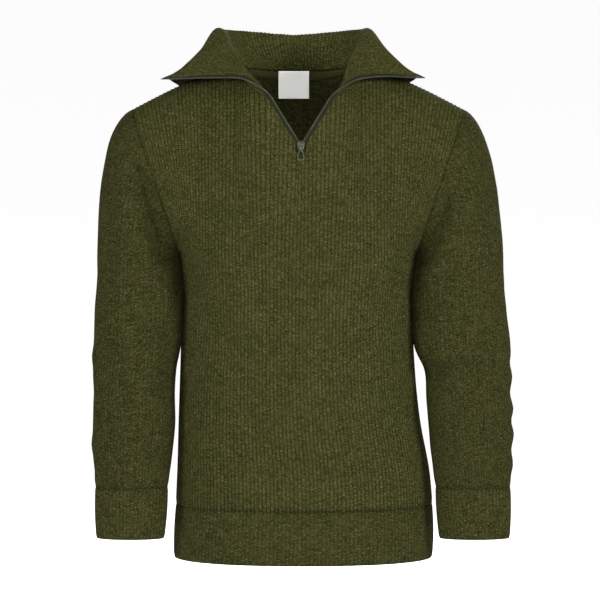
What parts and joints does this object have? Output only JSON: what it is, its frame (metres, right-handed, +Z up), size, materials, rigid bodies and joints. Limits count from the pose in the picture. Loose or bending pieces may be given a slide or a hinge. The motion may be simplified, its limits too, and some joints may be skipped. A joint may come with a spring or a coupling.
{
  "type": "half-zip pullover",
  "caption": "Rib-knit pullover with a tall folded-down collar, an opened half zip with a swinging pull tab, ribbed cuffs and a ribbed hem band, hollow as if worn.",
  "frame": {"origin": "midway between the two points where the shoulder seams meet the neck, where the garment rests on its wearer", "axes": "+Z up, +X to the wearer's left, +Y to the wearer's back"},
  "size_m": [0.5866, 0.2562, 0.7365],
  "materials": {
    "front_knit": "matt wool-like rib knit",
    "back_knit": "matt wool-like rib knit",
    "hem_knit": "matt wool-like rib knit",
    "sleeve_knit": "matt wool-like rib knit",
    "cuff_knit": "matt wool-like rib knit",
    "collar_knit": "matt wool-like rib knit",
    "zip_tape": "woven polyester tape",
    "zip_coil": "satin coil",
    "zip_slider": "satin grey metal",
    "zip_pull": "satin grey metal",
    "neck_tape": "woven twill tape",
    "neck_label": "bare woven label"
  },
  "bodies": {
    "garment": {"front": "front_knit", "back": "back_knit", "hem_front": "hem_knit", "hem_back": "hem_knit", "sleeve_right": "sleeve_knit", "cuff_right": "cuff_knit", "sleeve_left": "sleeve_knit", "cuff_left": "cuff_knit", "collar": "collar_knit", "zip_tape_right": "zip_tape", "zip_coil_right": "zip_coil", "zip_tape_left": "zip_tape", "zip_coil_left": "zip_coil", "zip_slider": "zip_slider", "neck_tape": "neck_tape", "neck_label": "neck_label"},
    "pull_tab": {"zip_pull": "zip_pull"}
  },
  "joints": [
    {"name": "pull_tab_swing", "type": "hinge", "parent": "garment", "child": "pull_tab", "pos_m": [0.004, -0.1178, -0.1067], "axis": [-1, 0, 0], "range_deg": [0, 150]}
  ]
}
